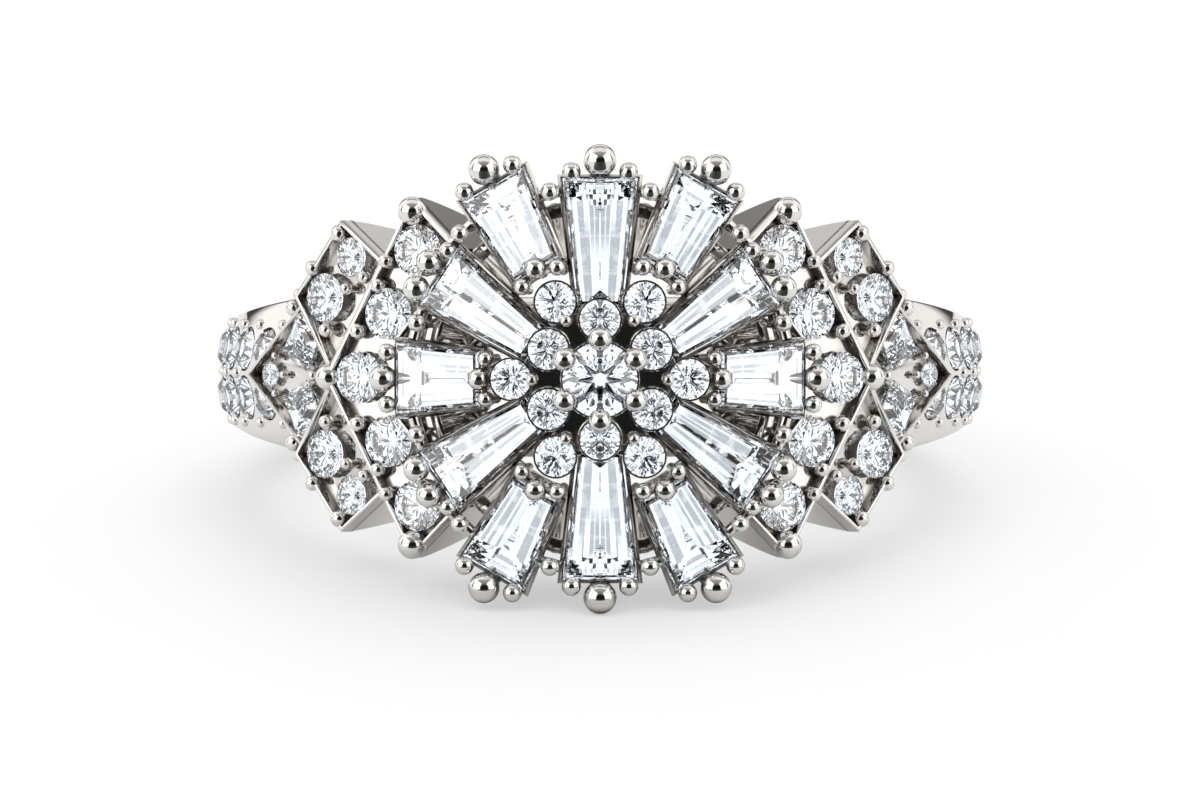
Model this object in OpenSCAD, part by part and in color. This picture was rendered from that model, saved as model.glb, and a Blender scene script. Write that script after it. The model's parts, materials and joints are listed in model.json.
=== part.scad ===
// Statement ring: a burst of tapered baguettes round a cluster of brilliants,
// on a shank with chevron shoulder plates, kites and two rows of pave.
// It lies on its side: the burst's lowest ball and the back of the shank touch z = 0.

/* [Shank] */
// Inner radius, which is half the finger size
bore_r = 8.65; // [7.6:0.05:9.4]
// Outer radius at the crest of the dome
shank_r = 10.65; // [10.4:0.05:10.9]
// Radius of the dome across the band
dome_r = 4; // [3.5:0.25:6]
// How far the outer circle is set towards the head
shank_shift = 0.25; // [0:0.05:0.4]
// Half width at the back of the finger
back_half = 1.06; // [0.9:0.02:1.2]
// Radius of the sweep that widens the band to the shoulders
sweep_r = 94; // [80:1:120]
// Half width under the head
front_half = 2.15; // [2:0.05:2.4]

/* [Burst] */
// Radius of the petals' girdles about the finger axis
petal_r = 13.1; // [12.9:0.05:13.4]
// Height of a petal's table over its girdle
crown_h = 0.24; // [0.18:0.02:0.3]
// Depth of a petal's keel under its girdle
keel_d = 0.75; // [0.6:0.05:0.8]
// Thickness of the petal frames
frame_wall = 0.12; // [0.1:0.02:0.16]
// Depth of the petal frames under the girdle
frame_d = 0.95; // [0.85:0.05:1.1]

/* [Cluster] */
// Diameter of the centre stone
centre_d = 2.0; // [1.8:0.05:2.1]
// Height of its girdle over the finger axis
centre_h = 14.2; // [14.15:0.05:14.5]
// Diameter of the twelve small rounds
small_d = 1.08; // [1:0.02:1.1]
// Distance of the inner six from the centre
inner_reach = 1.58; // [1.54:0.02:1.62]
// Radius of their girdles about the finger axis
inner_h = 13.75; // [13.7:0.05:13.85]
// Distance of the outer six from the centre
outer_reach = 2.36; // [2.34:0.02:2.4]
// Radius of their girdles about the finger axis
outer_h = 13.52; // [13.5:0.02:13.6]

/* [Shoulders] */
// Turn of the chevron plate from the front
chevron_turn = 27; // [25:1:29]
// Radius of its rim
chevron_r = 12.45; // [12.3:0.05:12.6]
// Diameter of its five stones
chevron_d = 1.4; // [1.2:0.05:1.42]
// Turn of the outer plates
outer_turn = 42; // [41:1:43]
// Radius of their rims
outer_r = 11.3; // [11.2:0.05:11.4]
// Turn of the kite
kite_turn = 53; // [52:1:54]
// Radius of its rim
kite_r = 11.05; // [11:0.05:11.15]
// Depth of the plates' floors under the rims
floor_d = 0.38; // [0.3:0.02:0.45]
// Width of the rims
rim_w = 0.11; // [0.08:0.01:0.14]

/* [Pave] */
// Stones in each of the two rows on each shoulder
pave_count = 5; // [3:1:5]
// Their diameter
pave_d = 1.22; // [1:0.02:1.24]
// Turn of the first stone from the front
pave_first = 59.5; // [59:0.5:61]
// Turn from one stone to the next
pave_step = 7.4; // [7.3:0.1:7.6]
// Distance of the rows from the middle
pave_row = 0.68; // [0.67:0.01:0.7]

/* [Hidden] */
// Room between a stone and the metal cut for it
seat_gap = 0.015;

// Round cuts, as shares of the radius or of the depth
girdle_half = 0.02;
table_share = 0.57;
star_share = 0.8;
star_rise = 0.607;
crown_share = 0.3;
pavilion_share = 0.86;
lower_share = 0.25;
lower_drop = 0.77;

// Steps of a tapered cut: how far the table, the step under it and the step under the girdle are set in
table_in = 0.27;
step_in = 0.13;
step_share = 0.6;
edge_half = 0.03;
under_in = 0.22;
under_h = 0.32;
keel_w = 0.02;
keel_cut = 1.1;
// Steps of its seat
seat_low = 0.3;
seat_high = 0.1;
seat_crown_in = 0.07;
seat_under_in = 0.18;

// Petals of one quadrant: turn round the finger, height along it, direction, girdle radius,
// lean of the outer end, inner and outer width, and length
PETALS = [
    [  0,   3.60,  90, petal_r,        6, 1.20, 2.00, 3.45],
    [-10,   4.03, 119, petal_r - 0.1,  7, 1.40, 1.95, 2.60],
    [-13.2, 1.82, 146, petal_r,        4, 1.04, 1.86, 3.26],
    [-19.3, 0,    180, petal_r - 0.15, 3, 1.51, 1.96, 2.46],
];
P_TURN = 0;
P_Z = 1;
P_WAY = 2;
P_R = 3;
P_LEAN = 4;
P_IN = 5;
P_OUT = 6;
P_LEN = 7;
PETAL_COUNT = 12;
// Kind of petal and its mirroring for each of the twelve, clockwise from the top
PETAL_PLACES = [
    [0, 1, 1], [1, -1, 1], [2, -1, 1], [3, -1, 1], [2, -1, -1], [1, -1, -1],
    [0, 1, -1], [1, 1, -1], [2, 1, -1], [3, 1, 1], [2, 1, 1], [1, 1, 1],
];
QUADRANTS = [[1, 1], [-1, 1], [1, -1], [-1, -1]];

// Balls at the ends of each kind of petal: end (1 outer, -1 inner), distance past it, offset, radius
PETAL_BALLS = [
    [[1, 0.45, 0, 0.44], [1, 0.15, 0.76, 0.255], [1, 0.15, -0.76, 0.255]],
    [[1, 0.42, 0, 0.415], [1, 0.16, 0.74, 0.25], [1, 0.16, -0.74, 0.25],
     [-1, 0, 0, 0.305], [-1, 0.25, 0.54, 0.23], [-1, 0.25, -0.54, 0.23]],
    [[1, 0.39, -0.18, 0.34], [1, 0.28, 0.6, 0.36], [1, 0.13, -0.72, 0.23]],
    [[1, 0.32, 0, 0.365], [1, 0.2, 0.7, 0.24], [1, 0.2, -0.7, 0.24],
     [-1, 0, 0, 0.305], [-1, 0.2, 0.53, 0.22], [-1, 0.2, -0.53, 0.22]],
];
B_END = 0;
B_PAST = 1;
B_OFF = 2;
B_R = 3;
// Height of their centres over the girdle, and the share of a ball's radius that its wire has
ball_lift = 0.2;
wire_share = 0.62;
petal_wire = 0.75;
// Least ball that sits on a claw, and how far the claw runs in and down
claw_from = 0.3;
claw_run = 0.85;
claw_drop = 1.35;

// Balls in the gaps between petals: direction and distance from the centre
GAP_BALLS = [[105, 5.14], [134, 5.36], [163, 5.1]];
gap_ball_r = 0.242;
gap_ball_lift = 0.15;
gap_wire = 1.1;
// Tie from the wire to the frames on both sides
tie_l = 0.9;
tie_r = 0.16;
tie_low = 0.5;
tie_in = 0.05;

// Columns of a ball or a stone on a plate: its place in x and y, then its size
SIZE = 2;
// Columns of the block under a plate: its depth, and the height and radius of its round underside
BLOCK_D = 0;
BELLY_H = 1;
BELLY_R = 2;

// Outline of the chevron plate, towards the head in x and along the finger in y
CHEVRON = [
    [0.68, 4.82], [-1.96, 0], [0.68, -4.82], [2.1, -3.45], [0.95, -1.8],
    [0.25, -1], [0.25, 1], [0.95, 1.8], [2.1, 3.45],
];
chevron_block = [2.9, 12.2, 5.02];
// Hollow in the underside of its upper arm
CHEVRON_HOLLOW = [[0.6, 4.1], [-0.35, 2.4], [0.8, 2.4], [1.6, 3.35]];
hollow_from = 1;
CHEVRON_STONES = [[0.81, 3.4], [-0.08, 1.7], [-0.97, 0], [-0.08, -1.7], [0.81, -3.4]];
// Its balls above the middle: place and radius
CHEVRON_BALLS = [[0.66, 4.46, 0.385], [-0.13, 3.12, 0.215], [-0.37, 2.46, 0.215], [-1, 1.24, 0.228]];
chevron_wire = 0.7;
corner_ball_r = 0.36;
corner_wire = 0.9;

OUTER_PLATE = [[0.72, 4.22], [-1.05, 2.15], [0.3, 0.1], [2.3, 3.1]];
outer_block = [2.2, 9.4, 4.3];
// Its two stones and five balls
OUTER_STONES = [[1, 3.22, 1.08], [0.02, 2.12, 1.34]];
OUTER_BALLS = [
    [0.58, 3.86, 0.24], [-0.42, 2.92, 0.215], [1.5, 2.68, 0.19], [0.83, 2.37, 0.17], [0.08, 1.25, 0.205],
];
outer_wire = 0.6;

KITE = [[-1.6, 0], [1.3, -2.1], [2.7, 0], [1.3, 2.1]];
kite_block_d = 1.4;
// Its balls above the middle, the beads of its small round among them, and those on the middle
KITE_BALLS = [[0.66, 1.84, 0.245], [0.9, 2.2, 0.17], [-0.27, 0.52, 0.11]];
KITE_MIDDLE = [[1.55, 0, 0.16], [0.14, 0, 0.12]];
kite_wire = 0.6;
kite_round = [-0.5, 0];
kite_round_d = 0.72;
kite_baguette = [1, 0.86];
kite_baguette_way = 146;
// Inner and outer width and length of its baguettes, and the scale of their steps
KITE_BAGUETTE = [0.95, 1.4, 1.2];
kite_steps = 0.7;

// How far the stones and the balls' centres lie under the rims
stone_sunk = 0.12;
ball_sunk = 0.1;
bead_r = 0.155;
// How far the girdles of the pave lie under the metal
pave_sunk = 0.03;

// Post under the cluster, from the band up
hub_r = 1.84;
hub_low = 9.6;
hub_top = 12.9;
// Rails of the gallery: inner and outer radius about the head's axis, then about the finger's
UPPER_RAIL = [4.4, 4.8, 11.65, 12.15];
LOWER_RAIL = [3.1, 3.5, 9.05, 9.75];
// Rods between them: distance from the head's axis and radius about the finger at each end
rod_count = 12;
rod_r = 0.24;
rod_low = [3.3, 9.3];
rod_high = [4.62, 11.9];

// Cups of the cluster
cup_d = 0.72;
cup_wall = 0.05;
stem_r = 0.28;
inner_lean = 6;
inner_stem = 1.1;
outer_lean = 8;
outer_stem = 3.5;
centre_cup_r = 0.75;
centre_cup_low = hub_top - 0.2;
centre_cup_top = centre_h - 0.05;
// Six ball prongs round the centre stone, and six tiny balls between the outer rounds
prong_r = 0.315;
prong_reach = 1.08;
prong_h = centre_h + 0.15;
tiny_r = 0.166;
tiny_reach = 1.8;
tiny_wire = 1.2;

// Lowest ball of the burst and lowest edge of the back, which the ring rests on
low_petal = PETALS[0];
low_ball = PETAL_BALLS[0][0];
low_reach = low_petal[P_LEN] / 2 + low_ball[B_PAST];
low_z = low_petal[P_Z] + low_reach * cos(low_petal[P_LEAN]) + ball_lift * sin(low_petal[P_LEAN]);
low_h = low_petal[P_R] - low_reach * sin(low_petal[P_LEAN]) + ball_lift * cos(low_petal[P_LEAN]);
sweep_y = 8;
back_y = back_edge_y();
back_z = half_width(back_y);
rest_run = low_h + back_y;
rest_rise = low_z - back_z;
rest_tilt = atan2(rest_rise, rest_run) + asin(low_ball[B_R] / norm([rest_run, rest_rise]));
rest_lift = back_y * sin(rest_tilt) + back_z * cos(rest_tilt);
// Frontmost and backmost places once it lies down, which centre it over the origin
front_y = -prong_h * cos(rest_tilt) - prong_reach * sin(rest_tilt) - prong_r;
rear_y = (shank_r - shank_shift - dome_r) * cos(rest_tilt) + dome_r;
rest_shift = -(front_y + rear_y) / 2;
// Size of the blanks that are cut to shape
blank = 30;

$fn = 48;

// Half width of the shank at a place from front to back
function half_width(y) = back_half + sweep_r - sqrt(sweep_r * sweep_r - pow(y - sweep_y, 2));
// Where the dome meets the edge of the band at the back
function back_edge_y() =
    let (z = half_width(shank_r - shank_shift))
    shank_r - shank_shift - dome_r + sqrt(dome_r * dome_r - z * z);
function unit(v) = v / norm(v);
function left_of(v) = [-v.y, v.x];
// Outline moved inwards by d, for points that run anticlockwise
function inset(points, d) =
    let (n = len(points))
    [for (i = [0:n - 1])
        let (a = left_of(unit(points[i] - points[(i + n - 1) % n])),
             b = left_of(unit(points[(i + 1) % n] - points[i])))
        points[i] + d * (a + b) / (1 + a * b)];
function trapezoid(w_in, w_out, l) =
    [[-l / 2, -w_in / 2], [l / 2, -w_out / 2], [l / 2, w_out / 2], [-l / 2, w_in / 2]];
function ring_of(n, r, z, turn) =
    [for (i = [0:n - 1]) [r * cos(turn + i * 360 / n), r * sin(turn + i * 360 / n), z]];
function lifted(points, z) = [for (p = points) [p.x, p.y, z]];
// Height of a cylinder about the finger axis over a place beside the middle
function over(r, x) = sqrt(r * r - x * x);
// Radius of the band's dome at a turn from the front and a height along the finger
function dome_at(turn, z) = shank_r - dome_r + over(dome_r, z) + shank_shift * cos(turn);
// Place in a direction and at a distance from the head's axis, on a radius about the finger
function on_surface(way, reach, r) = [reach * cos(way), -over(r, reach * cos(way)), reach * sin(way)];

// Place on the ring: turn round the finger, height along it, radius
module on_ring(turn, z, r) {
    rotate([0, 0, turn]) translate([0, -r, z]) rotate([90, 0, 0]) children();
}

// Place on the dome of the band, with its slope
module on_dome(turn, z, sunk = 0) {
    on_ring(turn, z, dome_at(turn, z)) rotate([-asin(z / dome_r), 0, 0]) translate([0, 0, -sunk]) children();
}

// Place on the cluster: direction and distance from the centre, radius about the finger, lean outwards
module on_cluster(way, reach, r, lean = 0) {
    x = reach * cos(way);
    on_ring(0, 0, over(r, x)) translate([x, reach * sin(way), 0])
        rotate([0, 0, way]) rotate([0, lean, 0]) children();
}

module on_petal(petal) {
    on_ring(petal[P_TURN], petal[P_Z], petal[P_R])
        rotate([0, 0, petal[P_WAY]]) rotate([0, petal[P_LEAN], 0]) children();
}

module on_chevron(sunk = 0) {
    on_ring(-chevron_turn, 0, chevron_r - sunk) children();
}

module on_outer(sunk = 0) {
    on_ring(-outer_turn, 0, outer_r - sunk) children();
}

module on_kite(sunk = 0) {
    on_ring(-kite_turn, 0, kite_r - sunk) children();
}

module on_kite_baguettes() {
    for (s = [1, -1]) flip(1, 1, s) translate(kite_baguette) rotate([0, 0, kite_baguette_way]) children();
}

module on_pave() {
    for (i = [0:pave_count - 1], z = [-pave_row, pave_row])
        on_dome(-pave_first - pave_step * i, z, pave_sunk) children();
}

// Mirrored left to right, along the finger, or across a plate
module flip(x, z, y = 1) {
    mirror([x < 0 ? 1 : 0, 0, 0]) mirror([0, y < 0 ? 1 : 0, 0]) mirror([0, 0, z < 0 ? 1 : 0]) children();
}

// Laid on its side and centred over the origin
module at_rest() {
    translate([0, rest_shift, rest_lift]) rotate([-rest_tilt, 0, 0]) children();
}

module rod(a, b, r) {
    way = b - a;
    translate(a) rotate([0, acos(way.z / norm(way)), atan2(way.y, way.x)])
        cylinder(h = norm(way), r = r, $fn = 24);
}

// Ball on a wire that runs down into the metal beside it
module prong(r, length) {
    sphere(r = r, $fn = 32);
    translate([0, 0, -length]) cylinder(h = length, r = r * wire_share, $fn = 24);
}

// Row of balls on a plate, above the middle and, if asked, below it
module plate_balls(balls, wire, sides = [1]) {
    for (b = balls, s = sides) translate([b.x, b.y * s, 0]) prong(b[SIZE], wire);
}

// Round brilliant with its girdle at z = 0
module brilliant(d) {
    r = d / 2;
    crown = crown_share * r;
    deep = pavilion_share * r;
    points = concat(
        ring_of(8, table_share * r, girdle_half + crown, 0),
        ring_of(8, star_share * r, girdle_half + star_rise * crown, 22.5),
        ring_of(16, r, girdle_half, 0),
        ring_of(16, r, -girdle_half, 0),
        ring_of(8, lower_share * r, -girdle_half - lower_drop * deep, 22.5),
        [[0, 0, -girdle_half - deep]]
    );
    table = 0;
    star = 8;
    upper = 16;
    lower = 32;
    half = 48;
    culet = 56;
    polyhedron(points, concat(
        [[for (k = [7:-1:0]) table + k]],
        [for (k = [0:7]) [table + k, table + (k + 1) % 8, star + k]],
        [for (k = [0:7]) [table + k, star + k, upper + 2 * k]],
        [for (k = [0:7]) [table + k, upper + 2 * k, star + (k + 7) % 8]],
        [for (k = [0:7]) [star + k, upper + 2 * k + 1, upper + 2 * k]],
        [for (k = [0:7]) [star + k, upper + (2 * k + 2) % 16, upper + 2 * k + 1]],
        [for (k = [0:15]) [upper + k, upper + (k + 1) % 16, lower + (k + 1) % 16, lower + k]],
        [for (k = [0:7]) [half + k, lower + 2 * k, lower + 2 * k + 1]],
        [for (k = [0:7]) [half + k, lower + 2 * k + 1, lower + (2 * k + 2) % 16]],
        [for (k = [0:7]) [culet, lower + 2 * k, half + k]],
        [for (k = [0:7]) [culet, half + (k + 7) % 8, lower + 2 * k]]
    ));
}

// Single cut, with eight facets over the girdle and eight under it
module single_cut(d) {
    r = d / 2;
    points = concat(
        ring_of(8, table_share * r, girdle_half + crown_share * r, 22.5),
        ring_of(8, r, girdle_half, 22.5),
        ring_of(8, r, -girdle_half, 22.5),
        [[0, 0, -girdle_half - pavilion_share * r]]
    );
    upper = 8;
    lower = 16;
    culet = 24;
    polyhedron(points, concat(
        [[for (k = [7:-1:0]) k]],
        [for (k = [0:7]) [k, (k + 1) % 8, upper + (k + 1) % 8, upper + k]],
        [for (k = [0:7]) [upper + k, upper + (k + 1) % 8, lower + (k + 1) % 8, lower + k]],
        [for (k = [0:7]) [culet, lower + k, lower + (k + 1) % 8]]
    ));
}

// Tapered step cut, from its table down to a keel
module step_cut(w_in, w_out, l, s = 1) {
    outline = trapezoid(w_in, w_out, l);
    steps = [
        [crown_h, table_in], [crown_h * step_share, step_in], [edge_half, 0], [-edge_half, 0],
        [-under_h, under_in],
    ];
    keel = lifted(trapezoid(keel_w, keel_w, l - keel_cut * s), -keel_d * s);
    rings = concat([for (p = steps) lifted(inset(outline, p[1] * s), p[0] * s)], [keel]);
    last = 4 * len(steps);
    points = [for (ring = rings, p = ring) p];
    // The two long sides are split along mirrored diagonals, so that both bulge
    sides = [for (i = [0:len(steps) - 1], k = [0:3])
        let (a = 4 * i + k, b = 4 * i + (k + 1) % 4)
        k == 2 ? [[b, b + 4, a], [b + 4, a + 4, a]] : [[b, a + 4, a], [b, b + 4, a + 4]]];
    polyhedron(points, concat(
        [[3, 2, 1, 0]],
        [for (pair = sides, face = pair) face],
        [[last, last + 1, last + 2, last + 3]]
    ));
}

// Room for a round stone
module round_seat(d) {
    r = d / 2 + seat_gap;
    top = girdle_half + crown_share * r + seat_gap;
    deep = girdle_half + pavilion_share * r + seat_gap;
    edge = girdle_half + seat_gap;
    rotate_extrude($fn = 32) polygon([
        [0, -deep], [lower_share * r, -lower_drop * deep - seat_gap], [r, -edge],
        [r, edge], [star_share * r, star_rise * top + girdle_half], [table_share * r, top], [0, top],
    ]);
}

// Room for a tapered stone: its girdle, its crown and its keel, which is open below
module tapered_seat(w_in, w_out, l, s = 1) {
    outline = trapezoid(w_in, w_out, l);
    translate([0, 0, -seat_low * s]) linear_extrude((seat_low + seat_high) * s)
        polygon(inset(outline, -seat_gap));
    translate([0, 0, seat_high / 2]) linear_extrude(crown_h * s) polygon(inset(outline, seat_crown_in * s));
    translate([0, 0, -frame_d - seat_high]) linear_extrude(frame_d) polygon(inset(outline, seat_under_in * s));
}

// Cup of a round stone, with a stem down to the metal under it
module cup(d, length) {
    translate([0, 0, -cup_d]) cylinder(h = cup_d + girdle_half, r1 = stem_r, r2 = d / 2 + cup_wall, $fn = 32);
    translate([0, 0, -length]) cylinder(h = length - cup_d + girdle_half, r = stem_r, $fn = 24);
}

module shank() {
    difference() {
        intersection() {
            translate([0, -shank_shift, 0]) rotate_extrude($fn = 96) intersection() {
                translate([shank_r - dome_r, 0]) circle(r = dome_r, $fn = 96);
                translate([bore_r - 1, -front_half]) square([shank_r + 1 - bore_r, 2 * front_half]);
            }
            difference() {
                cube([blank, blank, 2 * front_half], center = true);
                for (z = [-1, 1]) translate([0, sweep_y, z * (back_half + sweep_r)])
                    rotate([0, 90, 0]) cylinder(h = blank, r = sweep_r, center = true, $fn = 360);
            }
        }
        cylinder(h = blank, r = bore_r, center = true, $fn = 128);
    }
}

// Beads round each row, without the middle one that would stand in the kite
module pave_beads() {
    for (row = [-2, 0, 2], i = [(row == 0 ? 1 : 0):pave_count])
        on_dome(-pave_first - pave_step * (i - 0.5), row * pave_row, pave_sunk) sphere(r = bead_r, $fn = 24);
}

// Part of a tube about the head's axis that lies between two radii about the finger
module gallery_rail(rail) {
    intersection() {
        rotate([90, 0, 0]) difference() {
            cylinder(h = blank, r = rail[1], $fn = 64);
            translate([0, 0, -1]) cylinder(h = blank + 2, r = rail[0], $fn = 64);
        }
        difference() {
            cylinder(h = blank, r = rail[3], center = true, $fn = 96);
            cylinder(h = blank + 2, r = rail[2], center = true, $fn = 96);
        }
    }
}

module gallery() {
    gallery_rail(UPPER_RAIL);
    gallery_rail(LOWER_RAIL);
    for (i = [0.5:rod_count]) {
        way = i * 360 / rod_count;
        rod(on_surface(way, rod_low.x, rod_low.y), on_surface(way, rod_high.x, rod_high.y), rod_r);
    }
    on_ring(0, 0, hub_low) cylinder(h = hub_top - hub_low, r = hub_r, $fn = 48);
}

module petal_frame(petal) {
    outline = trapezoid(petal[P_IN], petal[P_OUT], petal[P_LEN]);
    translate([0, 0, -frame_d]) linear_extrude(frame_d) polygon(inset(outline, -frame_wall));
}

// Big outer balls sit on claws that bend in to the gallery
module petal_balls(petal, balls) {
    for (b = balls) {
        place = [b[B_END] * (petal[P_LEN] / 2 + b[B_PAST]), b[B_OFF], ball_lift];
        if (b[B_END] == 1 && b[B_R] > claw_from) {
            translate(place) sphere(r = b[B_R], $fn = 32);
            rod(place, place + [-claw_run, 0, -claw_drop], b[B_R] * wire_share);
        } else {
            translate(place) prong(b[B_R], petal_wire);
        }
    }
}

module burst() {
    for (place = PETAL_PLACES) {
        petal = PETALS[place[0]];
        flip(place[1], place[2]) on_petal(petal) {
            petal_frame(petal);
            petal_balls(petal, PETAL_BALLS[place[0]]);
        }
    }
    for (q = QUADRANTS, b = GAP_BALLS) flip(q[0], q[1]) on_cluster(b[0], b[1], petal_r + gap_ball_lift) {
        prong(gap_ball_r, gap_wire);
        translate([-tie_in, 0, -tie_low]) rotate([90, 0, 0])
            cylinder(h = tie_l, r = tie_r, center = true, $fn = 24);
    }
}

module cluster_metal() {
    on_ring(0, 0, centre_cup_low)
        cylinder(h = centre_cup_top - centre_cup_low, r1 = centre_cup_r, r2 = centre_d / 2, $fn = 48);
    for (i = [0:5]) {
        on_cluster(30 + 60 * i, prong_reach, prong_h) sphere(r = prong_r, $fn = 32);
        on_cluster(30 + 60 * i, inner_reach, inner_h, inner_lean) cup(small_d, inner_stem);
        on_cluster(60 * i, outer_reach, outer_h, outer_lean) cup(small_d, outer_stem);
        on_cluster(60 * i, tiny_reach, inner_h) prong(tiny_r, tiny_wire);
    }
}

module head() {
    difference() {
        union() {
            gallery();
            cluster_metal();
            burst();
        }
        on_cluster(0, 0, centre_h) round_seat(centre_d);
        for (i = [0:5]) {
            on_cluster(30 + 60 * i, inner_reach, inner_h, inner_lean) round_seat(small_d);
            on_cluster(60 * i, outer_reach, outer_h, outer_lean) round_seat(small_d);
        }
        for (place = PETAL_PLACES) {
            petal = PETALS[place[0]];
            flip(place[1], place[2]) on_petal(petal) tapered_seat(petal[P_IN], petal[P_OUT], petal[P_LEN]);
        }
    }
}

// Block under a plate, from its rim down towards the finger, rounded as seen along x
module plate_block(outline, turn, r, block) {
    intersection() {
        on_ring(turn, 0, r) translate([0, 0, -block[BLOCK_D]]) linear_extrude(block[BLOCK_D]) polygon(outline);
        translate([0, -block[BELLY_H], 0]) rotate([0, 90, 0])
            cylinder(h = 2 * blank, r = block[BELLY_R], center = true, $fn = 96);
    }
}

// Space over a plate's floor, inside its rim
module plate_hollow(outline) {
    translate([0, 0, -floor_d]) linear_extrude(1) polygon(inset(outline, rim_w));
}

module chevron_plate() {
    difference() {
        union() {
            difference() {
                plate_block(CHEVRON, -chevron_turn, chevron_r, chevron_block);
                on_chevron() plate_hollow(CHEVRON);
                for (s = [1, -1]) flip(1, s) on_chevron(chevron_block[BLOCK_D] + 1)
                    linear_extrude(chevron_block[BLOCK_D] + 1 - hollow_from) polygon(CHEVRON_HOLLOW);
            }
            on_chevron(ball_sunk) plate_balls(CHEVRON_BALLS, chevron_wire, [1, -1]);
            on_chevron(2 * ball_sunk) translate([CHEVRON[1].x, 0, 0]) prong(corner_ball_r, corner_wire);
        }
        on_chevron(stone_sunk) for (p = CHEVRON_STONES) translate(p) round_seat(chevron_d);
    }
}

module outer_plate() {
    difference() {
        union() {
            difference() {
                plate_block(OUTER_PLATE, -outer_turn, outer_r, outer_block);
                on_outer() plate_hollow(OUTER_PLATE);
            }
            on_outer(ball_sunk) plate_balls(OUTER_BALLS, outer_wire);
        }
        on_outer(stone_sunk) for (p = OUTER_STONES) translate([p.x, p.y, 0]) round_seat(p[SIZE]);
    }
}

module kite() {
    on_kite(kite_block_d) difference() {
        linear_extrude(kite_block_d) polygon(KITE);
        translate([0, 0, kite_block_d]) plate_hollow(KITE);
    }
    on_kite(ball_sunk) {
        plate_balls(KITE_BALLS, kite_wire, [1, -1]);
        plate_balls(KITE_MIDDLE, kite_wire);
    }
}

module kite_seats() {
    on_kite(ball_sunk) {
        translate(kite_round) round_seat(kite_round_d);
        on_kite_baguettes() tapered_seat(KITE_BAGUETTE[0], KITE_BAGUETTE[1], KITE_BAGUETTE[2], kite_steps);
    }
}

module shoulders() {
    for (side = [1, -1]) flip(side, 1) {
        chevron_plate();
        outer_plate();
        flip(1, -1) outer_plate();
        kite();
        pave_beads();
    }
}

// The kites' floors lie in the band, so their stones' seats are cut once they are joined to it
module band() {
    difference() {
        union() {
            shank();
            shoulders();
        }
        for (side = [1, -1]) flip(side, 1) {
            kite_seats();
            on_pave() round_seat(pave_d);
        }
    }
}

module ring_mount() {
    color("gainsboro") at_rest() {
        band();
        head();
    }
}

module centre_stone() {
    color("white") at_rest() on_cluster(0, 0, centre_h) brilliant(centre_d);
}

// The first of each six is at the top or just right of it, and they run clockwise
module inner_round(i) {
    color("white") at_rest() on_cluster(90 - 60 * i, inner_reach, inner_h, inner_lean) brilliant(small_d);
}

module outer_round(i) {
    color("white") at_rest() on_cluster(60 - 60 * i, outer_reach, outer_h, outer_lean) brilliant(small_d);
}

module baguette(i) {
    place = PETAL_PLACES[i];
    petal = PETALS[place[0]];
    color("aliceblue") at_rest() flip(place[1], place[2]) on_petal(petal)
        step_cut(petal[P_IN], petal[P_OUT], petal[P_LEN]);
}

// The first five run down the left shoulder and the rest down the right one
module chevron_round(i) {
    color("white") at_rest() flip(i < 5 ? 1 : -1, 1) on_chevron(stone_sunk)
        translate(CHEVRON_STONES[i % 5]) brilliant(chevron_d);
}

module plate_stones(side) {
    color("white") at_rest() flip(side, 1) for (s = [1, -1]) flip(1, s) on_outer(stone_sunk)
        for (p = OUTER_STONES) translate([p.x, p.y, 0]) brilliant(p[SIZE]);
}

module kite_stones(side) {
    color("aliceblue") at_rest() flip(side, 1) on_kite(ball_sunk) {
        translate(kite_round) brilliant(kite_round_d);
        on_kite_baguettes() step_cut(KITE_BAGUETTE[0], KITE_BAGUETTE[1], KITE_BAGUETTE[2], kite_steps);
    }
}

module pave(side) {
    color("white") at_rest() flip(side, 1) on_pave() single_cut(pave_d);
}

ring_mount();
centre_stone();
for (i = [0:5]) inner_round(i);
for (i = [0:5]) outer_round(i);
for (i = [0:PETAL_COUNT - 1]) baguette(i);
for (i = [0:9]) chevron_round(i);
plate_stones(1);  // plate_stones_left
plate_stones(-1);  // plate_stones_right
kite_stones(1);  // kite_stones_left
kite_stones(-1);  // kite_stones_right
pave(1);  // pave_left
pave(-1);  // pave_right
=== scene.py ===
# Statement ring of polished white metal with colourless stones, lying on its side.
# Lengths in the dictionaries are millimetres in the ring's own frame: finger axis along Z, head towards -Y.
import json
import math

import bmesh
import bpy
from mathutils import Matrix, Vector


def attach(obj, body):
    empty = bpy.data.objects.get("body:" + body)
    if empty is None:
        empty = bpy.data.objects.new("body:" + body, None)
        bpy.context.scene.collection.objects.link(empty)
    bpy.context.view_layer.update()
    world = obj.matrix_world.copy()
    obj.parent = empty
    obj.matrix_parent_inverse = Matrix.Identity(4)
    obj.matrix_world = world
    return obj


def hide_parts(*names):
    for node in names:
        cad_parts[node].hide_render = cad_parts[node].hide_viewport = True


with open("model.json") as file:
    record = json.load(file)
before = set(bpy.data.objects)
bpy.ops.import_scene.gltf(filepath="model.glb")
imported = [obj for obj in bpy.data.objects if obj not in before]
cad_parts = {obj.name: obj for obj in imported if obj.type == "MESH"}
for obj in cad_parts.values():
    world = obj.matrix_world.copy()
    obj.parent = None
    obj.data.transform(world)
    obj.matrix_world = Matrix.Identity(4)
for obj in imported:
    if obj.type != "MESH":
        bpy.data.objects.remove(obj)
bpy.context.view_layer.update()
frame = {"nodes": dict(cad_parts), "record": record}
mounts = {mount["name"]: mount for mount in frame["record"]["mounts"]}
finger = mounts["finger_bore"]
mm = 0.001
restTilt = math.atan2(finger["axis"][1], finger["axis"][2])
ringFrame = Matrix.Translation(finger["pos_m"]) @ Matrix.Rotation(-restTilt, 4, "X") @ Matrix.Scale(mm, 4)
print("frame loaded, ring tilted", round(math.degrees(restTilt), 2), "degrees")


# Places on the ring

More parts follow.
